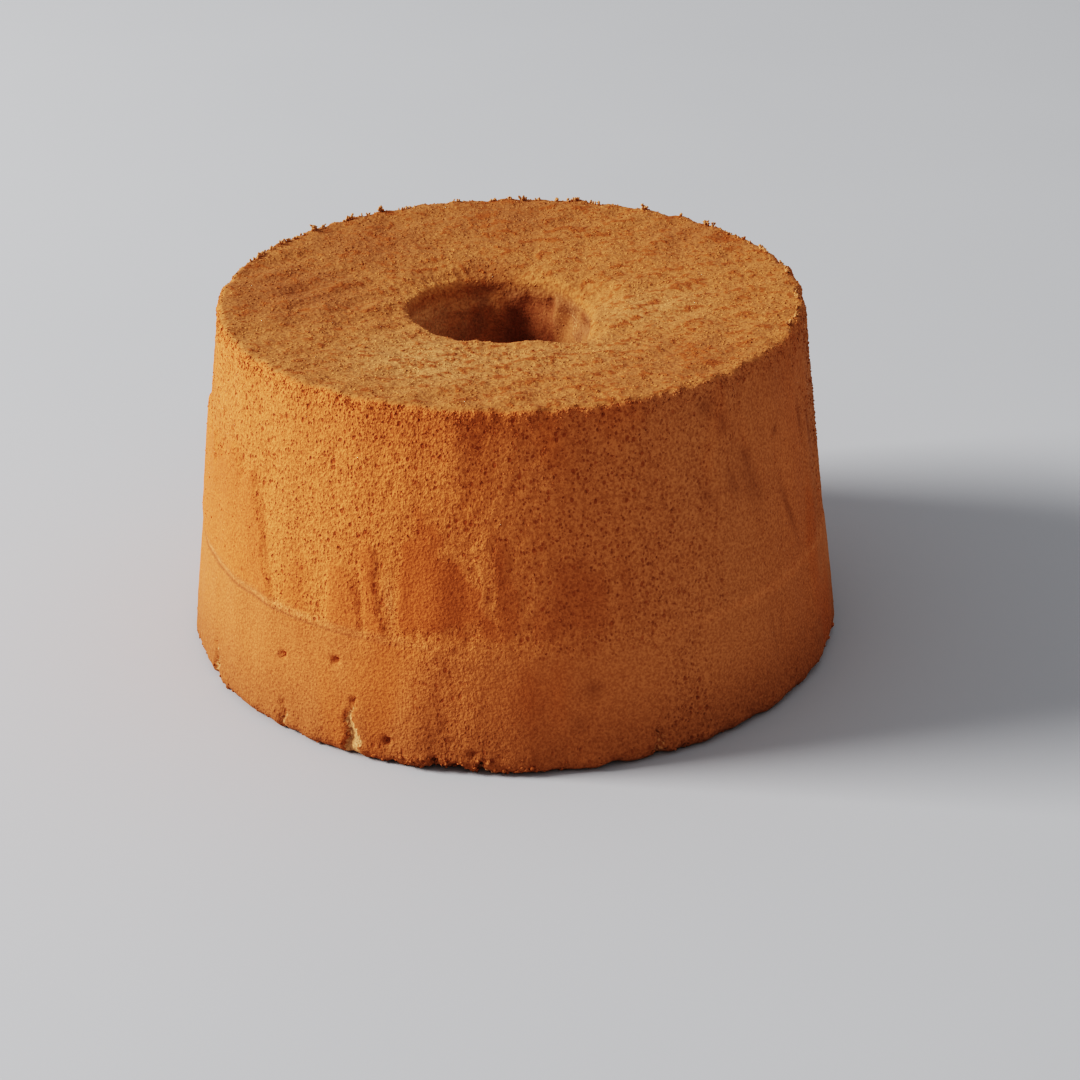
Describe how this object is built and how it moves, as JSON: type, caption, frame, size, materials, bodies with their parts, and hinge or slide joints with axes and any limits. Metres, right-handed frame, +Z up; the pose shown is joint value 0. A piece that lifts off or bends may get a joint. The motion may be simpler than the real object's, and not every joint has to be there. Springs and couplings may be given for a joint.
{
  "type": "chiffon cake",
  "caption": "Tall ring-shaped sponge cake with porous tapered sides, a shallow dished crumb top, ragged rim and foot, and an off-centre tube hole right through.",
  "frame": {"origin": "middle of the base, on the surface that the cake stands on", "axes": "+Z up along the cake's axis, -Y towards the front that the picture shows, +X to its right"},
  "size_m": [0.2094, 0.2094, 0.1131],
  "materials": {
    "baked_crumb": "matte porous baked sponge with a browned skin"
  },
  "bodies": {
    "root": {"cake": "baked_crumb"}
  },
  "joints": []
}
